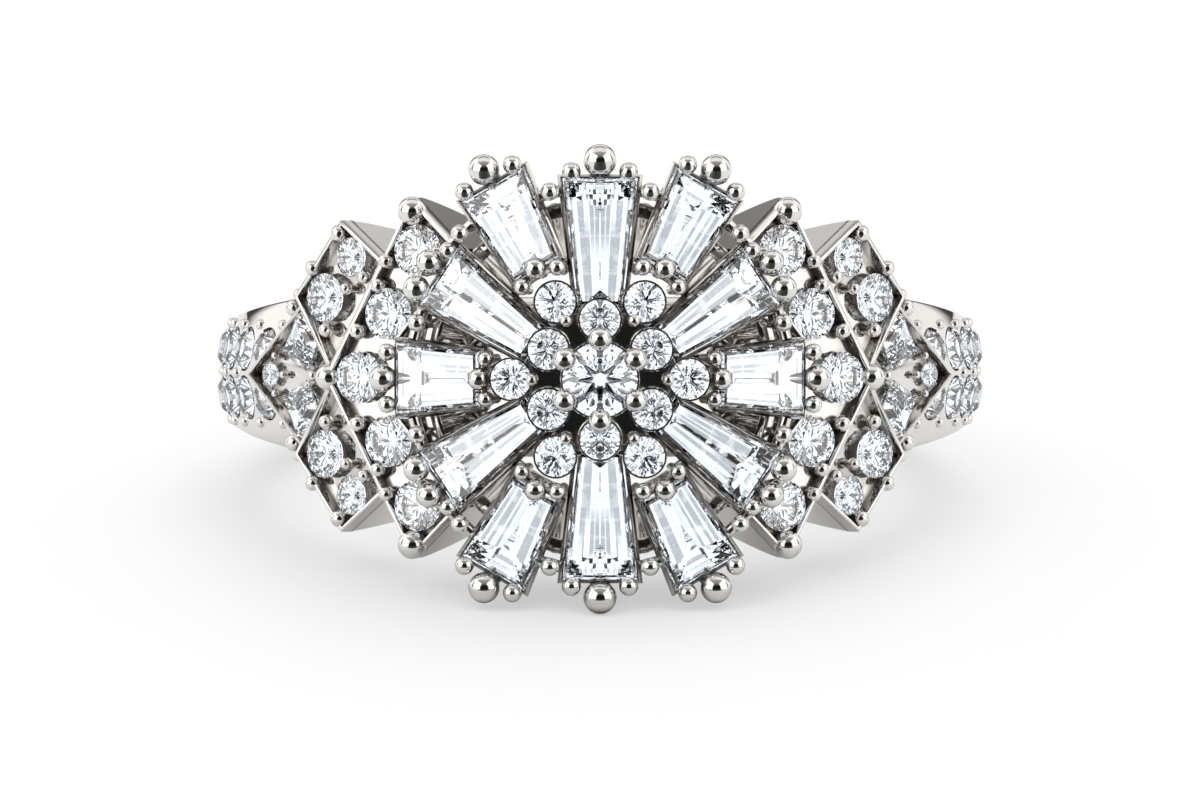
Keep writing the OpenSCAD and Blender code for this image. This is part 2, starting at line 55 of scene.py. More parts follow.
def over(radius, x):
    return math.sqrt(radius * radius - x * x)


def spin(degrees, axis):
    return Matrix.Rotation(math.radians(degrees), 4, axis)


def shift(x, y, z):
    return Matrix.Translation((x, y, z))


def flipped(x, z):
    return Matrix.Diagonal((x, 1, z, 1))


def onRing(turn, z, radius):
    return spin(turn, "Z") @ shift(0, -radius, z) @ spin(90, "X")


def onCluster(way, reach, radius, lean=0):
    x = reach * math.cos(math.radians(way))
    y = reach * math.sin(math.radians(way))
    return onRing(0, 0, over(radius, x)) @ shift(x, y, 0) @ spin(way, "Z") @ spin(lean, "Y")


def onPetal(petal):
    place = onRing(petal["turn"], petal["z"], petal["radius"])
    return place @ spin(petal["way"], "Z") @ spin(petal["lean"], "Y")


# Outlines

def inset(points, distance):
    # every edge of an anticlockwise outline moves inwards by the distance
    moved = []
    for i, point in enumerate(points):
        before = (Vector(point) - Vector(points[i - 1])).normalized()
        after = (Vector(points[(i + 1) % len(points)]) - Vector(point)).normalized()
        a, b = Vector((-before.y, before.x)), Vector((-after.y, after.x))
        moved.append(tuple(Vector(point) + distance * (a + b) / (1 + a.dot(b))))
    return moved


def taper(widthIn, widthOut, length):
    near, far, end = widthIn / 2, widthOut / 2, length / 2
    return [(-end, -near), (end, -far), (end, far), (-end, near)]


def at(points, z):
    return [(x, y, z) for x, y in points]


def circle(radius, z, sides=32):
    angles = [math.tau * k / sides for k in range(sides)]
    return [(radius * math.cos(angle), radius * math.sin(angle), z) for angle in angles]


# Meshes

def loft(shape, rings, place, closed=False):
    # joins equal rings of points into a skin, capped at both ends unless it closes on itself
    whole = ringFrame @ place
    rows = [[shape.verts.new(whole @ Vector(point)) for point in ring] for ring in rings]
    count = len(rows[0])
    pairs = list(zip(rows, rows[1:]))
    if closed:
        pairs.append((rows[-1], rows[0]))
    for low, high in pairs:
        for k in range(count):
            after = (k + 1) % count
            shape.faces.new((low[k], low[after], high[after], high[k]))
    if not closed:
        shape.faces.new(rows[0][::-1])
        shape.faces.new(rows[-1])


def band(shape, outline, section, place):
    # a wall round an outline, from its section's distances inwards and heights
    loft(shape, [at(inset(outline, distance), z) for distance, z in section], place, closed=True)


def lathe(shape, profile, place):
    pole = 1e-4  # a point on the axis is a tiny ring
    loft(shape, [circle(max(radius, pole), z) for radius, z in profile], place)


def rod(shape, start, end, radius, place, sides=16):
    way = Vector(end) - Vector(start)
    turned = shift(*start) @ way.to_track_quat("Z", "Y").to_matrix().to_4x4()
    loft(shape, [circle(radius, 0, sides), circle(radius, way.length, sides)], place @ turned)


def toMesh(name, shape):
    nearby = 1e-9  # points as close as this are one point
    bmesh.ops.remove_doubles(shape, verts=shape.verts, dist=nearby)
    bmesh.ops.recalc_face_normals(shape, faces=shape.faces)
    mesh = bpy.data.meshes.new(name)
    shape.to_mesh(mesh)
    shape.free()
    piece = bpy.data.objects.new(name, mesh)
    bpy.context.scene.collection.objects.link(piece)
    return piece


def bake(piece):
    # the evaluated result becomes the piece's own plain mesh
    evaluated = piece.evaluated_get(bpy.context.evaluated_depsgraph_get())
    mesh = bpy.data.meshes.new_from_object(evaluated)
    piece.modifiers.clear()
    piece.data = mesh
    return piece


def soften(piece, width, segments=2, angle=35):
    bevel = piece.modifiers.new("edge", "BEVEL")
    bevel.width = width * mm
    bevel.segments = segments
    bevel.limit_method = "ANGLE"
    bevel.angle_limit = math.radians(angle)
    return bake(piece)


def cut(piece, cutter, operation="DIFFERENCE"):
    boolean = piece.modifiers.new("cut", "BOOLEAN")
    boolean.operation = operation
    boolean.solver = "MANIFOLD"
    boolean.object = cutter
    bake(piece)
    bpy.data.objects.remove(cutter)


def dress(piece, material, smooth):
    mesh = piece.data
    mesh.materials.clear()
    mesh.materials.append(material)
    mesh.polygons.foreach_set("material_index", [0] * len(mesh.polygons))
    mesh.shade_smooth()
    mesh.set_sharp_from_angle(angle=math.radians(smooth))
    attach(piece, "root")
    return piece


# Node trees

class Wiring:
    # short ways to add and join the nodes of one tree
    def __init__(self, tree):
        self.nodes, self.links = tree.nodes, tree.links

    def fill(self, node, inputs):
        # an input takes a fixed value or another node's output
        for name, value in inputs.items():
            if isinstance(value, bpy.types.NodeSocket):
                self.links.new(value, node.inputs[name])
            else:
                node.inputs[name].default_value = value
        return node

    def add(self, kind, inputs=None, **settings):
        node = self.nodes.new(kind)
        for name, value in settings.items():
            setattr(node, name, value)
        return self.fill(node, inputs or {})

    def calculate(self, operation, *values):
        return self.add("ShaderNodeMath", dict(enumerate(values)), operation=operation).outputs[0]

    def ramp(self, value, start, end, low, high, kind="LINEAR"):
        levels = {"Value": value, "From Min": start, "From Max": end, "To Min": low, "To Max": high}
        return self.add("ShaderNodeMapRange", levels, interpolation_type=kind).outputs["Result"]

    def noise(self, place, scale, detail):
        grain = {"Vector": place, "Scale": scale, "Detail": detail}
        return self.add("ShaderNodeTexNoise", grain).outputs["Fac"]

    def blend(self, factor, first, second, kind="RGBA"):
        levels = {"Factor": factor, "A": first, "B": second}
        return self.add("ShaderNodeMix", levels, data_type=kind).outputs["Result"]

    def blendShaders(self, factor, first, second):
        return self.add("ShaderNodeMixShader", {0: factor, 1: first, 2: second}).outputs["Shader"]

    def turned(self, vector, x, z):
        turn = {"Vector": vector, "Rotation": (x, 0, z)}
        return self.add("ShaderNodeVectorRotate", turn, rotation_type="EULER_XYZ").outputs["Vector"]

    def split(self, vector):
        return self.add("ShaderNodeSeparateXYZ", {0: vector}).outputs

    def objectPlace(self):
        return self.add("ShaderNodeTexCoord").outputs["Object"]

    def lightPath(self):
        return self.add("ShaderNodeLightPath").outputs


def newMaterial(name):
    material = bpy.data.materials.new(name)
    material.use_nodes = True
    return material, Wiring(material.node_tree), material.node_tree.nodes["Principled BSDF"]


# Finishes

metalFinish = {
    "colour": (0.9, 0.885, 0.865, 1), "gloss": 0.02, "dull": 0.09,
    # the polish and the tone change a little from place to place
    "cloudScale": 900, "cloudDetail": 4, "cloudRange": (0.35, 0.8), "cloudTone": 0.93,
    # hairlines run round the finger
    "hairScale": 3500, "hairDetail": 3, "hairStretch": (1, 1, 9), "hairStrength": 0.01, "hairDepth": 0.02,
    # painted shade: the metal darkens and turns rough in the recesses between stones and balls
    "paintedShade": (0.24, 0.21, 0.185, 1), "rough": 0.35, "reach": 0.45, "open": (0.2, 0.66), "samples": 4,
}


def makeWhiteMetal():
    look = metalFinish
    material, w, shader = newMaterial("whiteMetal")
    place = w.objectPlace()
    cloud = w.noise(place, look["cloudScale"], look["cloudDetail"])
    polish = w.ramp(cloud, *look["cloudRange"], look["gloss"], look["dull"])
    tone = w.blend(cloud, look["colour"], [look["cloudTone"] * c for c in look["colour"][:3]] + [1])
    stretched = w.add("ShaderNodeMapping", {"Vector": place, "Scale": look["hairStretch"]}).outputs["Vector"]
    hairs = w.noise(stretched, look["hairScale"], look["hairDetail"])
    bump = {"Height": hairs, "Strength": look["hairStrength"], "Distance": look["hairDepth"] * mm}
    normal = w.add("ShaderNodeBump", bump).outputs["Normal"]
    # painted shade: ambient occlusion darkens the metal's colour and raises its roughness in recesses
    hollow = w.add("ShaderNodeAmbientOcclusion", {"Distance": look["reach"] * mm}, samples=look["samples"])
    unshadedShare = w.ramp(hollow.outputs["AO"], *look["open"], 0, 1)
    # rays through a stone see no painted shade, so the seats under stones stay bright
    unshadedShare = w.calculate("MAXIMUM", unshadedShare, w.lightPath()["Is Transmission Ray"])
    w.fill(shader, {
        "Metallic": 1, "Base Color": w.blend(unshadedShare, look["paintedShade"], tone),
        "Roughness": w.blend(unshadedShare, look["rough"], polish, "FLOAT"), "Normal": normal,
    })
    return material


stoneFinish = {
    "colour": (0.985, 0.99, 1, 1), "ior": 2.4,
    # faint marks of the polishing lap on the facets
    "polish": 0, "haze": 0.012, "lapScale": 4000, "lapDetail": 2, "lapRange": (0.45, 0.75),
}


def makeClearStone():
    look = stoneFinish
    material, w, shader = newMaterial("clearStone")
    lap = w.noise(w.objectPlace(), look["lapScale"], look["lapDetail"])
    w.fill(shader, {
        "Base Color": look["colour"], "Transmission Weight": 1, "IOR": look["ior"],
        "Roughness": w.ramp(lap, *look["lapRange"], look["polish"], look["haze"]),
    })
    return material


whiteMetal = makeWhiteMetal()
clearStone = makeClearStone()


def asMetal(piece, smooth=30):
    return dress(piece, whiteMetal, smooth)


# Balls on wires: every ball of the ring is an instance on a point that holds its size and its wire

ballLook = {"segments": 32, "wireSides": 16, "wireShare": 0.62}


def makeBallTree():
    tree = bpy.data.node_groups.new("ballOnWire", "GeometryNodeTree")
    kinds = {
        "Points": "Geometry", "Ball Segments": "Int", "Wire Sides": "Int",
        "Wire Share": "Float", "Metal": "Material",
    }
    for name, kind in kinds.items():
        tree.interface.new_socket(name, in_out="INPUT", socket_type="NodeSocket" + kind)
    tree.interface.new_socket("Balls", in_out="OUTPUT", socket_type="NodeSocketGeometry")
    w = Wiring(tree)
    given = w.add("NodeGroupInput").outputs

    def named(name, kind):
        found = w.add("GeometryNodeInputNamedAttribute", {"Name": name}, data_type=kind)
        return found.outputs["Attribute"]

    size, length = named("ballRadius", "FLOAT"), named("wireLength", "FLOAT")
    way = named("wireWay", "FLOAT_VECTOR")
    segments = given["Ball Segments"]
    fineness = {"Radius": 1, "Segments": segments, "Rings": w.calculate("DIVIDE", segments, 2)}
    sphere = w.add("GeometryNodeMeshUVSphere", fineness).outputs["Mesh"]
    wire = w.add("GeometryNodeMeshCylinder", {"Radius": 1, "Depth": 1, "Vertices": given["Wire Sides"]})
    low = {"Geometry": wire.outputs["Mesh"], "Translation": (0, 0, -0.5)}
    hung = w.add("GeometryNodeTransform", low).outputs["Geometry"]
    turn = w.add("FunctionNodeAlignRotationToVector", {"Vector": way}, axis="Z").outputs["Rotation"]
    thick = w.calculate("MULTIPLY", size, given["Wire Share"])
    stretch = w.add("ShaderNodeCombineXYZ", {"X": thick, "Y": thick, "Z": length}).outputs["Vector"]
    join = w.add("GeometryNodeJoinGeometry")
    for shape, scale in ((sphere, size), (hung, stretch)):
        spots = {"Points": given["Points"], "Instance": shape, "Rotation": turn, "Scale": scale}
        placed = w.add("GeometryNodeInstanceOnPoints", spots).outputs["Instances"]
        w.links.new(placed, join.inputs["Geometry"])
    real = w.add("GeometryNodeRealizeInstances", {"Geometry": join.outputs["Geometry"]})
    painted = {"Geometry": real.outputs["Geometry"], "Material": given["Metal"]}
    w.add("NodeGroupOutput", {"Balls": w.add("GeometryNodeSetMaterial", painted).outputs["Geometry"]})
    return tree


ballTree = makeBallTree()


def ball(place, radius, wire):
    # one row of the list that makeBalls takes
    whole = ringFrame @ place
    return whole.translation.copy(), radius * mm, wire * mm, (whole.to_3x3() @ Vector((0, 0, 1))).normalized()


def makeBalls(name, balls):
    mesh = bpy.data.meshes.new(name)
    mesh.from_pydata([row[0] for row in balls], [], [])
    mesh.attributes.new("ballRadius", "FLOAT", "POINT").data.foreach_set("value", [row[1] for row in balls])
    mesh.attributes.new("wireLength", "FLOAT", "POINT").data.foreach_set("value", [row[2] for row in balls])
    ways = mesh.attributes.new("wireWay", "FLOAT_VECTOR", "POINT")
    ways.data.foreach_set("vector", [c for row in balls for c in row[3]])
    piece = bpy.data.objects.new(name, mesh)
    bpy.context.scene.collection.objects.link(piece)
    modifier = piece.modifiers.new("balls", "NODES")
    modifier.node_group = ballTree
    inputs = {item.name: item.identifier for item in ballTree.interface.items_tree if item.in_out == "INPUT"}
    modifier[inputs["Ball Segments"]] = ballLook["segments"]
    modifier[inputs["Wire Sides"]] = ballLook["wireSides"]
    modifier[inputs["Wire Share"]] = ballLook["wireShare"]
    modifier[inputs["Metal"]] = whiteMetal
    return asMetal(bake(piece), smooth=50)


# Petals: an open tapered frame for each baguette, with balls at its ends

petalColumns = ("turn", "z", "way", "radius", "lean", "widthIn", "widthOut", "length")
petals = [dict(zip(petalColumns, row)) for row in (
    (0, 3.6, 90, 13.1, 6, 1.2, 2, 3.45),
    (-10, 4.03, 119, 13, 7, 1.4, 1.95, 2.6),
    (-13.2, 1.82, 146, 13.1, 4, 1.04, 1.86, 3.26),
    (-19.3, 0, 180, 12.95, 3, 1.51, 1.96, 2.46),
)]
# kind of petal and its mirroring, clockwise from the top
petalPlaces = [
    (0, 1, 1), (1, -1, 1), (2, -1, 1), (3, -1, 1), (2, -1, -1), (1, -1, -1),
    (0, 1, -1), (1, 1, -1), (2, 1, -1), (3, 1, 1), (2, 1, 1), (1, 1, 1),
]
# balls of each kind: end (1 outer, -1 inner), distance past it, offset, radius
petalBalls = [
    [(1, 0.45, 0, 0.44), (1, 0.15, 0.76, 0.255), (1, 0.15, -0.76, 0.255)],
    [(1, 0.42, 0, 0.415), (1, 0.16, 0.74, 0.25), (1, 0.16, -0.74, 0.25),
     (-1, 0, 0, 0.305), (-1, 0.25, 0.54, 0.23), (-1, 0.25, -0.54, 0.23)],
    [(1, 0.39, -0.18, 0.34), (1, 0.28, 0.6, 0.36), (1, 0.13, -0.72, 0.23)],
    [(1, 0.32, 0, 0.365), (1, 0.2, 0.7, 0.24), (1, 0.2, -0.7, 0.24),
     (-1, 0, 0, 0.305), (-1, 0.2, 0.53, 0.22), (-1, 0.2, -0.53, 0.22)],
]
# the wall's outside leans inwards below its bright slanted edge, so that the frame looks thin from the front
petalFrame = {
    "wall": 0.12, "gap": 0.015, "depth": 0.95, "ledge": 0.3, "ledgeIn": 0.18,
    "edge": 0.03, "edgeLow": 0.08, "bendLow": 0.12, "draft": 0.18,
}
# the big balls end claws that run in under the petal, and the others stand on plain wires
claw = {"from": 0.3, "run": 0.85, "drop": 1.35, "lift": 0.2, "stub": 0.1, "wire": 0.75}


def makePetalFrames():
    size = petalFrame
    wall, edge, gap, ledgeIn = size["wall"], size["edge"], size["gap"], size["ledgeIn"]
    low, ledge = -size["depth"], -size["ledge"]
    section = [
        (size["draft"] - wall, low), (-wall, -size["bendLow"]), (edge / 2 - wall, -size["edgeLow"]),
        (-gap - edge, 0), (-gap, -edge / 2), (-gap, ledge), (ledgeIn, ledge), (ledgeIn, low),
    ]
    shape = bmesh.new()
    for kind, x, z in petalPlaces:
        petal = petals[kind]
        outline = taper(petal["widthIn"], petal["widthOut"], petal["length"])
        band(shape, outline, section, flipped(x, z) @ onPetal(petal))
    asMetal(toMesh("petalFrames", shape))


def makePetalBalls():
    balls = []
    claws = bmesh.new()
    for kind, x, z in petalPlaces:
        petal = petals[kind]
        place = flipped(x, z) @ onPetal(petal)
        for end, past, offset, radius in petalBalls[kind]:
            spot = place @ shift(end * (petal["length"] / 2 + past), offset, claw["lift"])
            if end == 1 and radius > claw["from"]:
                balls.append(ball(spot, radius, claw["stub"]))
                rod(claws, (0, 0, 0), (-claw["run"], 0, -claw["drop"]), radius * ballLook["wireShare"], spot)
            else:
                balls.append(ball(spot, radius, claw["wire"]))
    asMetal(toMesh("petalClaws", claws))
    makeBalls("petalBalls", balls)


# small balls in the gaps between the petals, each with a tie that joins the frames beside it
gapBalls = {
    "rows": [(105, 5.14), (134, 5.36), (163, 5.1)], "dome": 13.1, "lift": 0.15, "radius": 0.242, "wire": 1.1,
}
gapTie = {"length": 0.9, "radius": 0.16, "low": 0.5, "in": 0.05}
quadrants = [(1, 1), (-1, 1), (1, -1), (-1, -1)]


def makeGapBalls():
    balls = []
    ties = bmesh.new()
    half, inwards, low = gapTie["length"] / 2, -gapTie["in"], -gapTie["low"]
    for x, z in quadrants:
        for way, reach in gapBalls["rows"]:
            place = flipped(x, z) @ onCluster(way, reach, gapBalls["dome"] + gapBalls["lift"])
            balls.append(ball(place, gapBalls["radius"], gapBalls["wire"]))
            rod(ties, (inwards, -half, low), (inwards, half, low), gapTie["radius"], place)
    asMetal(toMesh("gapTies", ties))
    makeBalls("gapBalls", balls)


makePetalFrames()
makePetalBalls()
makeGapBalls()
print("petals made")


# Cluster: a centre stone in a cup with six ball prongs, six inner and six outer rounds in cups

cluster = {
    "centreD": 2.0, "centreH": 14.2, "centreFoot": 0.75, "centreLow": 12.7,
    "smallD": 1.08, "cupDepth": 0.72, "cupWall": 0.05, "lip": 0.012, "stemRadius": 0.28,
    # small cups and balls stand six times round the centre
    "cups": [
        {"turn": 30, "reach": 1.58, "height": 13.75, "lean": 6, "stem": 1.1},
        {"turn": 0, "reach": 2.36, "height": 13.52, "lean": 8, "stem": 3.5},
    ],
    "balls": [
        {"turn": 30, "reach": 1.08, "height": 14.35, "radius": 0.315, "wire": 0.9},
        {"turn": 0, "reach": 1.8, "height": 13.75, "radius": 0.166, "wire": 1.2},
    ],
}
# shapes of the round stones' seats: shares of the radius, and the girdle and the gap in mm
cutShares = {"girdle": 0.02, "pavilion": 0.86, "lower": 0.25, "lowerDrop": 0.77, "gap": 0.015}


def seatProfile(diameter):
    # the cone that a round stone sits in, from the girdle down to the axis
    radius = diameter / 2 + cutShares["gap"]
    deep = cutShares["girdle"] + cutShares["pavilion"] * radius + cutShares["gap"]
    return [
        (radius, cutShares["girdle"]), (radius, -cutShares["girdle"] - cutShares["gap"]),
        (cutShares["lower"] * radius, -cutShares["lowerDrop"] * deep - cutShares["gap"]), (0, -deep),
    ]


def addSeat(shape, diameter, plug, wider, place):
    # a cutter for a round stone: the seat's cone with a plug over it
    lathe(shape, [(0, plug), (diameter / 2 + wider, plug)] + seatProfile(diameter)[1:], place)


def addCup(shape, diameter, foot, place):
    # a cup for a round stone, on a foot given by its corners from the bottom up
    outer = diameter / 2 + cluster["cupWall"]
    brim = [(outer, 0), (outer - cluster["lip"], cutShares["girdle"])]
    lathe(shape, [(0, foot[0][1])] + foot + brim + seatProfile(diameter), place)


def makeCluster():
    cups = bmesh.new()
    balls = []
    foot = [(cluster["centreFoot"], cluster["centreLow"] - cluster["centreH"])]
    addCup(cups, cluster["centreD"], foot, onCluster(0, 0, cluster["centreH"]))
    for turn in range(0, 360, 60):
        for cup in cluster["cups"]:
            foot = [(cluster["stemRadius"], -cup["stem"]), (cluster["stemRadius"], -cluster["cupDepth"])]
            place = onCluster(cup["turn"] + turn, cup["reach"], cup["height"], cup["lean"])
            addCup(cups, cluster["smallD"], foot, place)
        for row in cluster["balls"]:
            place = onCluster(row["turn"] + turn, row["reach"], row["height"])
            balls.append(ball(place, row["radius"], row["wire"]))
    asMetal(toMesh("clusterCups", cups))
    makeBalls("clusterProngs", balls)


makeCluster()
print("cluster made")


# Gallery: two rails under the head, rods between them, and a post under the cluster

rails = {
    "upper": {"inner": 4.4, "outer": 4.8, "low": 11.65, "high": 12.15},
    "lower": {"inner": 3.1, "outer": 3.5, "low": 9.05, "high": 9.75},
}
railLook = {"steps": 72, "round": 0.05}
galleryRods = {"count": 12, "radius": 0.24, "low": (3.3, 9.3), "high": (4.62, 11.9)}
hub = {"radius": 1.84, "low": 9.6, "high": 12.9, "sides": 48}


def onSurface(way, reach, radius):
    x = reach * math.cos(math.radians(way))
    return (x, -over(radius, x), reach * math.sin(math.radians(way)))


def makeGallery():
    rail = bmesh.new()
    corners = [("inner", "low"), ("outer", "low"), ("outer", "high"), ("inner", "high")]
    ways = [360 * k / railLook["steps"] for k in range(railLook["steps"])]
    for size in rails.values():
        rings = [[onSurface(way, size[reach], size[height]) for reach, height in corners] for way in ways]
        loft(rail, rings, Matrix.Identity(4), closed=True)
    asMetal(soften(toMesh("galleryRails", rail), railLook["round"]))
    rods = bmesh.new()
    for k in range(galleryRods["count"]):
        way = (k + 0.5) * 360 / galleryRods["count"]
        low, high = onSurface(way, *galleryRods["low"]), onSurface(way, *galleryRods["high"])
        rod(rods, low, high, galleryRods["radius"], Matrix.Identity(4))
    post = [circle(hub["radius"], z, hub["sides"]) for z in (0, hub["high"] - hub["low"])]
    loft(rods, post, onRing(0, 0, hub["low"]))
    asMetal(toMesh("galleryRods", rods))


makeGallery()
print("gallery made")


# Plates on the shoulders: chevron, outer plates and kite

chevron = {
    "turn": 27, "radius": 12.45, "depth": 2.9, "bellyH": 12.2, "bellyR": 5.02, "stoneD": 1.4,
    "outline": [
        (0.68, 4.82), (-1.96, 0), (0.68, -4.82), (2.1, -3.45), (0.95, -1.8),
        (0.25, -1), (0.25, 1), (0.95, 1.8), (2.1, 3.45),
    ],
    "hollow": [(0.6, 4.1), (-0.35, 2.4), (0.8, 2.4), (1.6, 3.35)],
    "stones": [(0.81, 3.4), (-0.08, 1.7), (-0.97, 0), (-0.08, -1.7), (0.81, -3.4)],
    "balls": [(0.66, 4.46, 0.385), (-0.13, 3.12, 0.215), (-0.37, 2.46, 0.215), (-1, 1.24, 0.228)],
    "cornerBall": (-1.96, 0, 0.36), "hollowLow": 3.9, "hollowHigh": 1,
    "wire": 0.7, "cornerSunk": 0.1, "cornerWire": 0.9,
}
outerPlate = {
    "turn": 42, "radius": 11.3, "depth": 2.2, "bellyH": 9.4, "bellyR": 4.3,
    "outline": [(0.72, 4.22), (-1.05, 2.15), (0.3, 0.1), (2.3, 3.1)],
    "stones": [(1, 3.22, 1.08), (0.02, 2.12, 1.34)],
    "balls": [
        (0.58, 3.86, 0.24), (-0.42, 2.92, 0.215), (1.5, 2.68, 0.19), (0.83, 2.37, 0.17), (0.08, 1.25, 0.205),
    ],
    "wire": 0.6,
}
kite = {
    "turn": 53, "radius": 11.05, "depth": 1.4,
    "outline": [(-1.6, 0), (1.3, -2.1), (2.7, 0), (1.3, 2.1)],
    "round": (-0.5, 0, 0.72),
    "baguette": {"x": 1, "y": 0.86, "way": 146, "widthIn": 0.95, "widthOut": 1.4, "length": 1.2},
    # the seat of a baguette: its room from above, and a narrower well below it
    "seat": {"low": 0.21, "high": 0.6, "wellIn": 0.126, "wellLow": 1.05},
    "balls": [(0.66, 1.84, 0.245), (0.9, 2.2, 0.17), (-0.27, 0.52, 0.11)],
    "middleBalls": [(1.55, 0, 0.16), (0.14, 0, 0.12)], "wire": 0.6,
}
plateLook = {
    "floor": 0.38, "rim": 0.11, "rimSunk": 0.1, "stoneSunk": 0.12, "ballSunk": 0.1, "plug": 1,
    # a rim's rounded edge: its size, and its points as shares of that, inwards and down
    "round": 0.03, "corner": [(0, 1), (0.4, 0.3), (1.2, 0)],
    "bellyHalf": 15, "bellySides": 96,
}


def addRim(shape, outline, place):
    # a narrow wall round a plate, with both upper edges rounded off
    rim, soft = plateLook["rim"], plateLook["round"]
    low = -plateLook["floor"] - plateLook["rimSunk"]
    outside = [(a * soft, -b * soft) for a, b in plateLook["corner"]]
    inside = [(rim - b * soft, -a * soft) for a, b in plateLook["corner"]]
    band(shape, outline, [(0, low)] + outside + inside + [(rim, low)], place)


def roundSeats(spots, place):
    shape = bmesh.new()
    for x, y, diameter in spots:
        addSeat(shape, diameter, plateLook["plug"], cutShares["gap"], place @ shift(x, y, 0))
    return toMesh("seats", shape)


def makePlateBody(name, plate, side, upper, seats):
    place = flipped(side, upper) @ onRing(-plate["turn"], 0, plate["radius"])
    body = bmesh.new()
    loft(body, [at(plate["outline"], -plate["depth"]), at(plate["outline"], -plateLook["floor"])], place)
    piece = toMesh(name, body)
    if "bellyR" in plate:
        # the plate's underside is curved across the finger
        half, radius, sides = plateLook["bellyHalf"], plate["bellyR"], plateLook["bellySides"]
        belly = bmesh.new()
        axis = flipped(side, upper) @ shift(-half, -plate["bellyH"], 0) @ spin(90, "Y")
        loft(belly, [circle(radius, 0, sides), circle(radius, 2 * half, sides)], axis)
        cut(piece, toMesh("belly", belly), "INTERSECT")
    if seats:
        cut(piece, roundSeats(seats, place @ shift(0, 0, -plateLook["stoneSunk"])))
    return piece, place


def kiteSeats(side):
    # cutters for the stones of a kite, for its plate and for the shank under it
    place = flipped(side, 1) @ onRing(-kite["turn"], 0, kite["radius"]) @ shift(0, 0, -plateLook["ballSunk"])
    shape = bmesh.new()
    x, y, diameter = kite["round"]
    addSeat(shape, diameter, plateLook["plug"], cutShares["gap"], place @ shift(x, y, 0))
    size, seat = kite["baguette"], kite["seat"]
    outline = taper(size["widthIn"], size["widthOut"], size["length"])
    room, well = inset(outline, -cutShares["gap"]), inset(outline, seat["wellIn"])
    low = -seat["low"]
    rings = [at(well, -seat["wellLow"]), at(well, low), at(room, low), at(room, seat["high"])]
    stone = shift(size["x"], size["y"], 0) @ spin(size["way"], "Z")
    for mirrored in (1, -1):
        loft(shape, rings, place @ Matrix.Diagonal((1, mirrored, 1, 1)) @ stone)
    return toMesh("kiteSeats", shape)


def plateBalls(place, balls, mirrored, wire):
    rows = []
    for x, y, radius in balls:
        for s in (1, -1) if mirrored else (1,):
            rows.append(ball(place @ shift(x, y * s, -plateLook["ballSunk"]), radius, wire))
    return rows


def makeShoulder(side, word):
    rims = bmesh.new()
    seats = [(x, y, chevron["stoneD"]) for x, y in chevron["stones"]]
    body, place = makePlateBody("chevronPlate_" + word, chevron, side, 1, seats)
    addRim(rims, chevron["outline"], place)
    hollows = bmesh.new()
    for mirrored in (1, -1):
        outline = [(x, y * mirrored) for x, y in chevron["hollow"]]
        loft(hollows, [at(outline, -chevron["hollowLow"]), at(outline, -chevron["hollowHigh"])], place)
    cut(body, toMesh("hollows", hollows))
    asMetal(body)
    balls = plateBalls(place, chevron["balls"], True, chevron["wire"])
    corner = place @ shift(0, 0, -chevron["cornerSunk"])
    balls += plateBalls(corner, [chevron["cornerBall"]], False, chevron["cornerWire"])
    for upper, level in ((1, "upper"), (-1, "lower")):
        name = f"outerPlate_{word}_{level}"
        body, place = makePlateBody(name, outerPlate, side, upper, outerPlate["stones"])
        asMetal(body)
        addRim(rims, outerPlate["outline"], place)
        balls += plateBalls(place, outerPlate["balls"], False, outerPlate["wire"])
    body, place = makePlateBody("kite_" + word, kite, side, 1, [])
    cut(body, kiteSeats(side))
    addRim(rims, kite["outline"], place)
    asMetal(body)
    balls += plateBalls(place, kite["balls"], True, kite["wire"])
    balls += plateBalls(place, kite["middleBalls"], False, kite["wire"])
    asMetal(toMesh("plateRims_" + word, rims))
    makeBalls("plateBalls_" + word, balls)


for side, word in ((1, "left"), (-1, "right")):
    makeShoulder(side, word)
print("shoulders made")


# Shank: a domed band that widens to the shoulders, with two rows of pave on each side

shank = {
    "bore": 8.65, "outer": 10.65, "dome": 4, "shift": 0.25, "backHalf": 1.06, "sweepRadius": 94, "sweepY": 8,
    "frontHalf": 2.15, "steps": 240, "across": 16, "inside": 4, "edge": 0.07, "edgeSteps": 3, "settling": 4,
}
pave = {
    "count": 5, "diameter": 1.22, "first": 59.5, "step": 7.4, "row": 0.68, "sunk": 0.03,
    "plug": 0.6, "plugWider": 0.03, "bead": 0.155, "beadWire": 0.2,
}


def halfWidth(y):
    swept = shank["backHalf"] + shank["sweepRadius"] - over(shank["sweepRadius"], y - shank["sweepY"])
    return min(swept, shank["frontHalf"])


def domeRadius(z):
    return shank["outer"] - shank["dome"] + over(shank["dome"], z)


def onDome(turn, z, sunk):
    radius = domeRadius(z) + shank["shift"] * math.cos(math.radians(turn))
    tip = math.degrees(math.asin(z / shank["dome"]))
    return onRing(turn, z, radius) @ spin(-tip, "X") @ shift(0, 0, -sunk)


def shankRing(angle):
    # section of the band at an angle from the front, from its outer dome round to the bore
    x, y = math.sin(angle), -math.cos(angle)
    edge = shank["backHalf"]
    for _ in range(shank["settling"]):  # the edge's place and the width there settle together
        edge = halfWidth(domeRadius(edge) * y - shank["shift"])
    ring = []
    for k in range(shank["across"] + 1):
        z = edge * (2 * k / shank["across"] - 1)
        radius = domeRadius(z)
        ring.append((radius * x, radius * y - shank["shift"], z))
    inner = halfWidth(shank["bore"] * y)
    for k in range(shank["inside"] + 1):
        ring.append((shank["bore"] * x, shank["bore"] * y, inner * (1 - 2 * k / shank["inside"])))
    return ring


